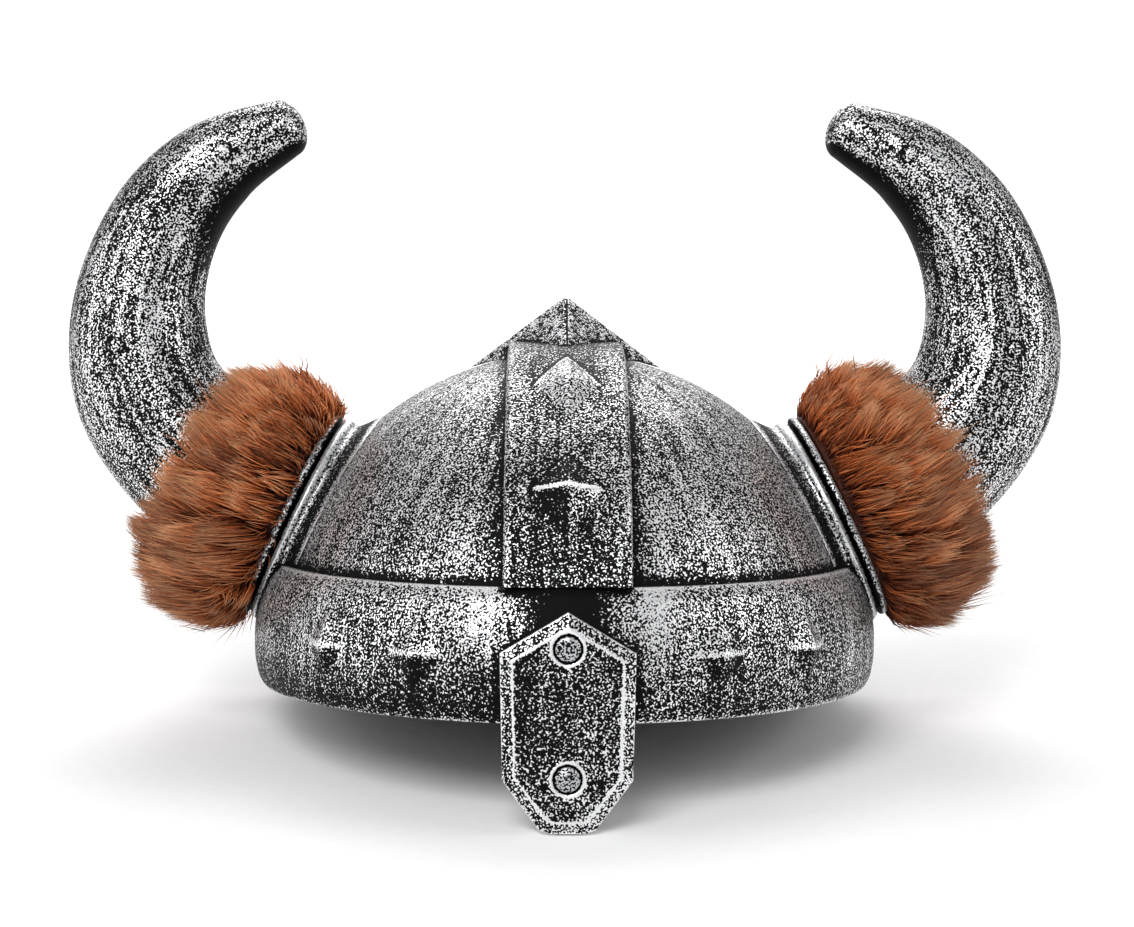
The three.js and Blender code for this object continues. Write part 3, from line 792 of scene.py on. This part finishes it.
def collar():
    outs = np.linspace(0, 1, collar_rows)
    radii = smoothed(np.interp(outs, column(collar_profile, "out"), column(collar_profile, "radius")), 2)
    bore = horn_root_radius + clearance
    section = [(collar_radius + radius, out) for out, radius in zip(outs, radii)]
    section += [(bore, 1), (bore, 0)]
    bm = spun_ring(section, ring_steps)
    mark_ring_brush(bm, collar_radius)
    mark_rub_and_painted_light(bm, lambda p: float(np.interp(p.z, column(collar_rub_and_light, "out"), column(collar_rub_and_light, "rub_and_painted_light"))))
    for vert in bm.verts:
        foot = dome_along_axis(vert.co.x, vert.co.y) - clearance
        vert.co.z = foot + (collar_face - foot) * vert.co.z
    lay_on_collar_axis(bm)
    return bm


def flange():
    bore = horn_root_radius + clearance
    base = collar_face + flange_gap
    edge = flange_thickness / 3
    section = [
        (bore, base), (collar_radius - 2, base), (collar_radius - 0.3, base), (collar_radius, base + edge),
        (collar_radius, base + 2 * edge), (collar_radius - 0.5, base + flange_thickness),
        (collar_radius - 2, base + flange_thickness), (bore, base + flange_thickness),
    ]
    bm = spun_ring(section, ring_steps)
    mark_ring_brush(bm, collar_radius)
    mark_rub_and_painted_light(bm, lambda p: flange_rub)
    lay_on_collar_axis(bm)
    return bm


def other_side(bm):
    """Turns a piece of the right side into the same piece of the left."""
    bmesh.ops.scale(bm, vec=(-1, 1, 1), verts=bm.verts)
    bmesh.ops.reverse_faces(bm, faces=bm.faces)
    return bm


collar_silver = antique_silver("antique_silver_collar", -0.15, "#dfe0e1")
for side in ("right", "left"):
    ring = collar() if side == "right" else other_side(collar())
    silver_piece(ring, "silver_collar_" + side, [collar_silver], "trim_silver", "collar_" + side, hard=0.2)
    plate = flange() if side == "right" else other_side(flange())
    silver_piece(plate, "silver_flange_" + side, [collar_silver], "trim_silver", "flange_" + side)

# Horns
# Two hollow moulded horns that leave the collar outwards, curve up and in to a blunt round tip, and
# are brushed with silver along their length. Two small round nubs stand on the front of each.
horn_reach = 49.6
horn_rise = 121
horn_tip_length = 6.5
horn_depth = 12
horn_sides = 112
horn_steps = 190
nub_radius = 3.1
nub_relief = 1.1
nub_rub = {"foot": -0.7, "top": -0.1}
horn_painted_light = {"tip": 0.04, "shade_under_tip": -1.2}
horn_sections = [
    {"out": 0.446, "up": 0.092, "thick": 1},
    {"out": 0.758, "up": 0.212, "thick": 0.98},
    {"out": 0.94, "up": 0.331, "thick": 0.94},
    {"out": 1, "up": 0.484, "thick": 0.87},
    {"out": 0.942, "up": 0.641, "thick": 0.775},
    {"out": 0.768, "up": 0.794, "thick": 0.685},
    {"out": 0.49, "up": 0.912, "thick": 0.575},
    {"out": 0.083, "up": 1, "thick": 0.38},
]
horn_nubs = [
    {"along": 0.5, "turn": 10},
    {"along": 0.89, "turn": 2},
]


def smooth_line(points, steps=40):
    """Dense points of a smooth line through a few, with the same pace between each two of them."""
    points = [2 * points[0] - points[1], *points, 2 * points[-1] - points[-2]]
    dense = []
    for p0, p1, p2, p3 in zip(points, points[1:], points[2:], points[3:]):
        d0, d1, d2 = math.sqrt((p1 - p0).length), math.sqrt((p2 - p1).length), math.sqrt((p3 - p2).length)
        start = ((p1 - p0) / d0 - (p2 - p0) / (d0 + d1) + (p2 - p1) / d1) * d1
        end = ((p2 - p1) / d1 - (p3 - p1) / (d1 + d2) + (p3 - p2) / d2) * d1
        for step in range(steps):
            t = step / steps
            dense.append(
                p1 * (2 * t ** 3 - 3 * t ** 2 + 1) + start * (t ** 3 - 2 * t ** 2 + t)
                + p2 * (3 * t ** 2 - 2 * t ** 3) + end * (t ** 3 - t ** 2)
            )
    return np.array(dense + [points[-2]])


horn_root = dome_centre + collar_axis * collar_face
horn_points = [dome_centre + collar_axis * (collar_face - horn_depth), horn_root]
for row in horn_sections:
    horn_points.append(horn_root + Vector((row["out"] * horn_reach, 0, row["up"] * horn_rise)))
horn_line = smooth_line(horn_points)
horn_paces = np.linalg.norm(np.diff(horn_line, axis=0), axis=1)
horn_travel = np.concatenate([[0], np.cumsum(horn_paces)])
horn_length = horn_travel[-1]
horn_tangents = np.gradient(horn_line, horn_travel, axis=0)
horn_tangents /= np.linalg.norm(horn_tangents, axis=1)[:, None]


def along_horn(along, up, side):
    """Points beside the horn's centre line, from arrays: along it, and up and sideways across it."""
    held = np.clip(along, 0, horn_length)
    spine = np.stack([np.interp(held, horn_travel, horn_line[:, axis]) for axis in range(3)], axis=-1)
    ahead = np.stack([np.interp(held, horn_travel, horn_tangents[:, axis]) for axis in range(3)], axis=-1)
    upward = np.stack([-ahead[..., 2], np.zeros_like(held), ahead[..., 0]], axis=-1)
    sideways = np.array([0.0, 1.0, 0.0])
    past = (along - held)[..., None]
    return spine + ahead * past + upward * up[..., None] + sideways * side[..., None]


def bend_on_horn(bm):
    """Bends a mesh made along Z on the horn's centre line: X becomes up and Y forward."""
    places = np.array([vert.co for vert in bm.verts])
    bent = along_horn(places[:, 2], places[:, 0], -places[:, 1])
    for vert, place in zip(bm.verts, bent):
        vert.co = place


def horn_radius(along):
    """Radius of the horn at places along it, from an array."""
    return np.interp(along, horn_radius_places, horn_radii)


horn_knots = [horn_depth]
for before, after in zip(horn_points[1:], horn_points[2:]):
    horn_knots.append(horn_knots[-1] + (after - before).length)
horn_radius_places = np.linspace(0, horn_length, 300)
horn_radii = smoothed(np.interp(
    horn_radius_places * horn_knots[-1] / horn_length,
    [0] + horn_knots[1:],
    [horn_root_radius] + [row["thick"] * horn_root_radius for row in horn_sections],
), 60)


def horn():
    places = np.linspace(0, horn_length, horn_steps)
    section = [(0, 0), *zip(horn_radius(places), places)]
    tip_radius = float(horn_radius(horn_length))
    for turn in np.linspace(0, math.pi / 2, 14)[1:]:
        section.append((tip_radius * math.cos(turn), horn_length + horn_tip_length * math.sin(turn)))
    bm = spun_body(section, horn_sides)

    def round_tip(p):
        """Painted light on the upper part of the horn: a little more silver near its tip as a painted
        highlight, and painted shade under it that leaves almost none.
        """
        inner = p.x / float(horn_radius(p.z))
        share = p.z / horn_length
        shaded = clamp((inner - 0.58) * 2.8) * clamp((share - 0.6) * 3)
        return horn_painted_light["tip"] * clamp((share - 0.75) * 6) + horn_painted_light["shade_under_tip"] * shaded

    mark_rub_and_painted_light(bm, round_tip)
    rub_and_light_layer = bm.verts.layers.float["rub_and_painted_light"]
    for nub in horn_nubs:
        along = nub["along"] * horn_length
        turn = math.radians(nub["turn"])
        radius = float(horn_radius(along)) - nub_relief
        place = Matrix.Translation((-radius * math.sin(turn), radius * math.cos(turn), along))
        flat = Matrix.Diagonal((nub_radius, 2 * nub_relief, nub_radius, 1))
        shape = place @ Matrix.Rotation(turn, 4, "Z") @ flat
        ball = bmesh.ops.create_uvsphere(bm, u_segments=28, v_segments=16, radius=1, matrix=shape)
        for vert in ball["verts"]:
            above = math.hypot(vert.co.x, vert.co.y) - radius - nub_relief
            vert[rub_and_light_layer] = nub_rub["foot"] + (nub_rub["top"] - nub_rub["foot"]) * clamp(above / nub_relief)
    mark_brush(bm, lambda p: (p.x, p.y, p.z))
    bend_on_horn(bm)
    return bm


horn_silver = antique_silver("antique_silver_horn", -0.35, "#f0f0f1", streaks=0.62)
for side in ("right", "left"):
    bent = horn() if side == "right" else other_side(horn())
    silver_piece(bent, "silver_horn_" + side, [horn_silver], "horn_silver", "horn_" + side)

# Fur cuffs
# A cuff of long rust-brown fake fur round the root of each horn, glued on against the flange. Its pile is
# dense, gathers into soft tufts, sweeps outwards along the horn and hangs below, longest beside the flange.
cuff_start = horn_depth + flange_gap + flange_thickness + clearance
cuff_length = 27
strands_per_mesh = 9000
meshes_per_cuff = 2
tufts_per_cuff = 230
cuff_sides = [
    {"side": "right", "seed": 11, "tuck": 15, "puff": 0.6},
    {"side": "left", "seed": 29, "tuck": 75, "puff": 0.4},
]
cuff_radius = 34
root_depth = 0.6
strand_places = [0, 0.5, 1]
strand_width = 0.42
strand_widths = {"least": 0.7, "most": 1.25}
strand_lengths = {"least": 0.7, "most": 1.18}
strand_bend = 0.55
strand_sag = 2.2
strand_swing = 0.18
wisps = {"share": 0.05, "longer": 0.4}
gathered = {"least": 0.3, "most": 0.85, "loose_share": 0.1}
lean_below = {"inner": 14, "outer": 32, "spread": 9}
hang_below = {"inner": 0.2, "outer": -0.9}
beside_flange = {"reach": 0.12, "shorter": 0.35}
fur_tones_and_top_light = {"middle": 0.53, "top": 0.32, "tuft_spread": 0.18, "strand_spread": 0.26}
# The backing takes the hair's colour near its root, painted shade included.
backing_look = {"tip": 0.12, "tone": 0.3}
backing_sections = [
    {"along": 0, "radius": 33.2},
    {"along": 0.12, "radius": 34.6},
    {"along": 0.4, "radius": 34.2},
    {"along": 0.7, "radius": 31.5},
    {"along": 0.9, "radius": 28},
    {"along": 1, "radius": 25.4},
]
pile_sections = [
    {"along": 0, "lean": 64, "length": 12},
    {"along": 0.3, "lean": 54, "length": 17},
    {"along": 0.7, "lean": 40, "length": 19},
    {"along": 1, "lean": 24, "length": 18},
]


def rust_fur():
    """Dyed acrylic fake fur: dark at the root with painted shade deep in the pile, rust along the hair and
    paler at its tip, with a soft sheen."""
    material, tree = new_material("rust_fake_fur")
    tip = add(tree, "ShaderNodeAttribute", {}, attribute_name="tip").outputs["Fac"]
    tone = add(tree, "ShaderNodeAttribute", {}, attribute_name="tone").outputs["Fac"]
    shade = add(tree, "ShaderNodeValToRGB", {"Fac": tip})
    stops = shade.color_ramp.elements
    stops[0].color = linear("#34160c")
    stops[1].color = linear("#f4ba88")
    for place, colour in ((0.3, "#8a3d19"), (0.64, "#cf7034")):
        stops.new(place).color = linear(colour)
    dark = add(tree, "ShaderNodeMix", {
        0: tone, 6: linear("#7c6a60"), 7: linear("#ffffff"),
    }, data_type="RGBA").outputs[2]
    colour = add(tree, "ShaderNodeMix", {
        0: 1.0, 6: shade.outputs["Color"], 7: dark,
    }, data_type="RGBA", blend_type="MULTIPLY").outputs[2]
    shader = add(tree, "ShaderNodeBsdfPrincipled", {
        "Base Color": colour, "Roughness": 0.55, "Specular IOR Level": 0.35,
    }).outputs["BSDF"]
    add(tree, "ShaderNodeOutputMaterial", {"Surface": shader})
    return material


def fur_backing():
    """The cloth backing with its undercoat, a sleeve that closes on the horn at its outer end."""
    alongs = np.linspace(0, 1, 30)
    radii = np.interp(alongs, column(backing_sections, "along"), column(backing_sections, "radius"))
    radii = smoothed(radii, 2)
    section = [(radius, cuff_start + along * cuff_length) for along, radius in zip(alongs, radii)]
    bore = horn_root_radius + clearance
    section += [(bore, cuff_start + cuff_length), (bore, cuff_start)]
    bm = spun_ring(section, 96)
    bend_on_horn(bm)
    tip = bm.verts.layers.float.new("tip")
    tone = bm.verts.layers.float.new("tone")
    for vert in bm.verts:
        vert[tip] = backing_look["tip"]
        vert[tone] = backing_look["tone"]
    return bm


def pile(rng, alongs, turns, tuck, puff):
    """Root radius, lean, length and swing of hairs. Tuck lays those beside the flange back over it, and
    puff lengthens those on top."""
    down = 0.5 - 0.5 * np.cos(turns)
    root = np.interp(alongs, column(backing_sections, "along"), column(backing_sections, "radius"))
    root = root - root_depth
    lean = np.interp(alongs, column(pile_sections, "along"), column(pile_sections, "lean"))
    beside = np.clip(1 - alongs / beside_flange["reach"], 0, 1)
    lean = lean + (lean_below["inner"] + lean_below["outer"] * alongs) * down + tuck * beside
    lean = np.radians(lean + rng.normal(0, lean_below["spread"], len(alongs)))
    length = np.interp(alongs, column(pile_sections, "along"), column(pile_sections, "length"))
    hang = (hang_below["inner"] + hang_below["outer"] * alongs) * down
    length = length * (1 + hang + puff * alongs * (1 - down)) * (1 - beside_flange["shorter"] * beside)
    wisp = 1 + wisps["longer"] * (rng.uniform(0, 1, len(alongs)) > 1 - wisps["share"])
    length = length * rng.uniform(strand_lengths["least"], strand_lengths["most"], len(alongs)) * wisp
    swing = rng.normal(0, strand_swing, len(alongs))
    return root, lean, length, swing


def hair_points(alongs, turns, root, lean, length, swing, share):
    """Points at a share of each hair's length; a hair rises from its root and bends over outwards."""
    bend = strand_bend * share
    rise = length * share * np.sin(lean - bend)
    run = length * share * np.cos(lean - bend)
    sag = strand_sag * share ** 2 * np.abs(np.sin(turns))
    radius = root + rise
    angle = turns + swing * length * share / radius
    up = radius * np.cos(angle) - sag
    return along_horn(cuff_start + alongs * cuff_length + run, up, radius * np.sin(angle))


def fur_meshes(side, seed, tuck, puff):
    """Lays the strands of a cuff. Each follows its own line from the root and is drawn to that of the
    nearest tuft, more and more towards its tip. A strand is a three-sided spike with one bend, drawn
    thicker than the two or three real hairs that it stands for."""
    rng = np.random.default_rng(seed)
    tuft_alongs = rng.uniform(0, 1, tufts_per_cuff)
    tuft_turns = rng.uniform(0, math.tau, tufts_per_cuff)
    tuft_shape = pile(rng, tuft_alongs, tuft_turns, tuck, puff)
    tuft_tones = rng.normal(0, fur_tones_and_top_light["tuft_spread"], tufts_per_cuff)
    for number in range(meshes_per_cuff):
        count = strands_per_mesh
        alongs = rng.uniform(0, 1, count)
        turns = rng.uniform(0, math.tau, count)
        shape = pile(rng, alongs, turns, tuck, puff)
        away = (alongs[:, None] - tuft_alongs) ** 2 * cuff_length ** 2
        away += ((turns[:, None] - tuft_turns + math.pi) % math.tau - math.pi) ** 2 * cuff_radius ** 2
        tuft = away.argmin(axis=1)
        gather = rng.uniform(gathered["least"], gathered["most"], count)
        gather = gather * (rng.uniform(0, 1, count) > gathered["loose_share"])
        rows = []
        for share in strand_places:
            own = hair_points(alongs, turns, *shape, share)
            led = hair_points(
                tuft_alongs[tuft], tuft_turns[tuft], *[values[tuft] for values in tuft_shape], share,
            )
            hold = (gather * share ** 1.5)[:, None]
            rows.append(own * (1 - hold) + led * hold)
        spine = np.stack(rows, axis=1)
        ahead = np.gradient(spine, axis=1)
        ahead /= np.linalg.norm(ahead, axis=2)[..., None]
        first = np.cross(ahead, rng.normal(0, 1, (count, 1, 3)))
        first /= np.linalg.norm(first, axis=2)[..., None]
        second = np.cross(ahead, first)
        widths = rng.uniform(strand_widths["least"], strand_widths["most"], count)
        widths = strand_width / 2 * widths[:, None] * np.array([1, 0.9, 0])
        corners = []
        for turn in (0, math.tau / 3, 2 * math.tau / 3):
            corners.append(spine + (first * math.cos(turn) + second * math.sin(turn)) * widths[..., None])
        rings = np.stack(corners, axis=2)[:, :2].reshape(count, 6, 3)
        verts = np.concatenate([rings, spine[:, 2:3]], axis=1).reshape(-1, 3)
        hair = [(0, 2, 1), (0, 1, 4, 3), (1, 2, 5, 4), (2, 0, 3, 5), (3, 4, 6), (4, 5, 6), (5, 3, 6)]
        faces = [[corner + 7 * i for corner in face] for i in range(count) for face in hair]
        mesh = bpy.data.meshes.new("fur")
        mesh.from_pydata(verts.tolist(), [], faces)
        tips = np.tile(np.repeat(strand_places, [3, 3, 1]), count)
        # Tones differ at random by tuft and strand, and the hair on top of the cuff is painted lighter as
        # light from above.
        tones = fur_tones_and_top_light["middle"] + fur_tones_and_top_light["top"] * np.cos(turns) + tuft_tones[tuft]
        tones = np.clip(tones + rng.normal(0, fur_tones_and_top_light["strand_spread"], count), 0, 1)
        mesh.attributes.new("tip", "FLOAT", "POINT").data.foreach_set("value", tips)
        mesh.attributes.new("tone", "FLOAT", "POINT").data.foreach_set("value", np.repeat(tones, 7))
        bm = bmesh.new()
        bm.from_mesh(mesh)
        bpy.data.meshes.remove(mesh)
        bmesh.ops.recalc_face_normals(bm, faces=bm.faces)
        if side == "left":
            other_side(bm)
        piece(bm, f"fur_{side}_{number + 1}", [fur_rust], "rust_fur", "fur_cuff_" + side)


fur_rust = rust_fur()
for cuff in cuff_sides:
    side = cuff["side"]
    backing = fur_backing() if side == "right" else other_side(fur_backing())
    piece(backing, "fur_backing_" + side, [fur_rust], "rust_fur", "fur_cuff_" + side)
    fur_meshes(**cuff)

# Painted shade in the corners of the silver
# The silver is rubbed on with a dry brush that doesn't reach into corners, and its corners are also given
# painted shade: every silver vertex is marked by how much of the sky above it is shut off close by.
corner_reach = 0.008
corner_shade_strength = 2.2
sky_rays = 28
sky_ray_start = 0.0002
sky_ray_least_facing = 0.15


def sky_directions():
    """Directions spread evenly over a sphere."""
    directions = []
    for i in range(sky_rays):
        height = 1 - (2 * i + 1) / sky_rays
        turn = i * math.pi * (3 - math.sqrt(5))
        across = math.sqrt(1 - height * height)
        directions.append(Vector((across * math.cos(turn), across * math.sin(turn), height)))
    return directions


def mark_corner_shade():
    places, polygons = [], []
    for made in silver_pieces:
        first = len(places)
        places += [vert.co.copy() for vert in made.data.vertices]
        polygons += [[first + corner for corner in polygon.vertices] for polygon in made.data.polygons]
    tree = BVHTree.FromPolygons(places, polygons)
    directions = sky_directions()
    for made in silver_pieces:
        shut = []
        for vert in made.data.vertices:
            start = vert.co + vert.normal * sky_ray_start
            total, hit = 0, 0
            for direction in directions:
                facing = direction.dot(vert.normal)
                if facing < sky_ray_least_facing:
                    continue
                total += facing
                distance = tree.ray_cast(start, direction, corner_reach)[3]
                if distance is not None:
                    hit += facing * (1 - distance / corner_reach)
            shut.append(clamp(corner_shade_strength * hit / total) if total else 1)
        made.data.attributes.new("corner_shade", "FLOAT", "POINT").data.foreach_set("value", shut)


mark_corner_shade()

# Studio
# A plain pale floor that sweeps up behind, a large soft light above the front and a weaker one on each
# side, and an even pale surrounding.


def matt_paper():
    """White background paper, matt and faintly fibrous."""
    material, tree = new_material("white_background_paper")
    place = add(tree, "ShaderNodeTexCoord", {}).outputs["Object"]
    fibre = add(tree, "ShaderNodeTexNoise", {"Vector": place, "Scale": 1000 / 4, "Detail": 3}).outputs["Fac"]
    tint = add(tree, "ShaderNodeMix", {
        0: fibre, 6: linear("#f4f4f4"), 7: linear("#fafafa"),
    }, data_type="RGBA").outputs[2]
    shader = add(tree, "ShaderNodeBsdfPrincipled", {"Base Color": tint, "Roughness": 0.9}).outputs["BSDF"]
    add(tree, "ShaderNodeOutputMaterial", {"Surface": shader})
    return material


def floor():
    """A sheet of paper, flat under the helmet and curved up far behind it."""
    bm = bmesh.new()
    profile = [(-3, 0), (1.6, 0)]
    for turn in np.linspace(0, math.pi / 2, 12)[1:]:
        profile.append((1.6 + math.sin(turn), 1 - math.cos(turn)))
    profile.append((2.6, 3))
    corners = [bm.verts.new((-4, y, z)) for y, z in profile]
    sides = [bm.edges.new(pair) for pair in zip(corners, corners[1:])]
    grown = bmesh.ops.extrude_edge_only(bm, edges=sides)["geom"]
    bmesh.ops.translate(bm, vec=(8, 0, 0), verts=[v for v in grown if isinstance(v, bmesh.types.BMVert)])
    bmesh.ops.recalc_face_normals(bm, faces=bm.faces)
    new_object(bm, "floor", [matt_paper()])


def soft_light(name, place, size, power, target=(0, 0, 0.08)):
    """A square soft box that faces the helmet or another place."""
    data = bpy.data.lights.new(name, "AREA")
    data.size = size
    data.energy = power
    made = bpy.data.objects.new(name, data)
    bpy.context.scene.collection.objects.link(made)
    made.location = place
    made.rotation_euler = (Vector(target) - Vector(place)).to_track_quat("-Z", "Y").to_euler()


floor()
soft_light("key", (-0.4, -1.1, 1.1), 0.8, 14)
soft_light("fill_left", (-1.3, -0.3, 0.5), 0.7, 5)
soft_light("fill_right", (1.3, -0.3, 0.6), 0.7, 6)
soft_light("back", (0, 1.1, 1.0), 1.0, 8)
soft_light("backdrop", (0, 1.0, 1.9), 1.6, 32, (0, 2.5, 0.6))
world = bpy.data.worlds.new("pale_room")
bpy.context.scene.world = world
world.use_nodes = True
world.node_tree.nodes["Background"].inputs["Color"].default_value = linear("#f2f3f5")
world.node_tree.nodes["Background"].inputs["Strength"].default_value = 0.4
bpy.context.scene.view_settings.view_transform = "Standard"
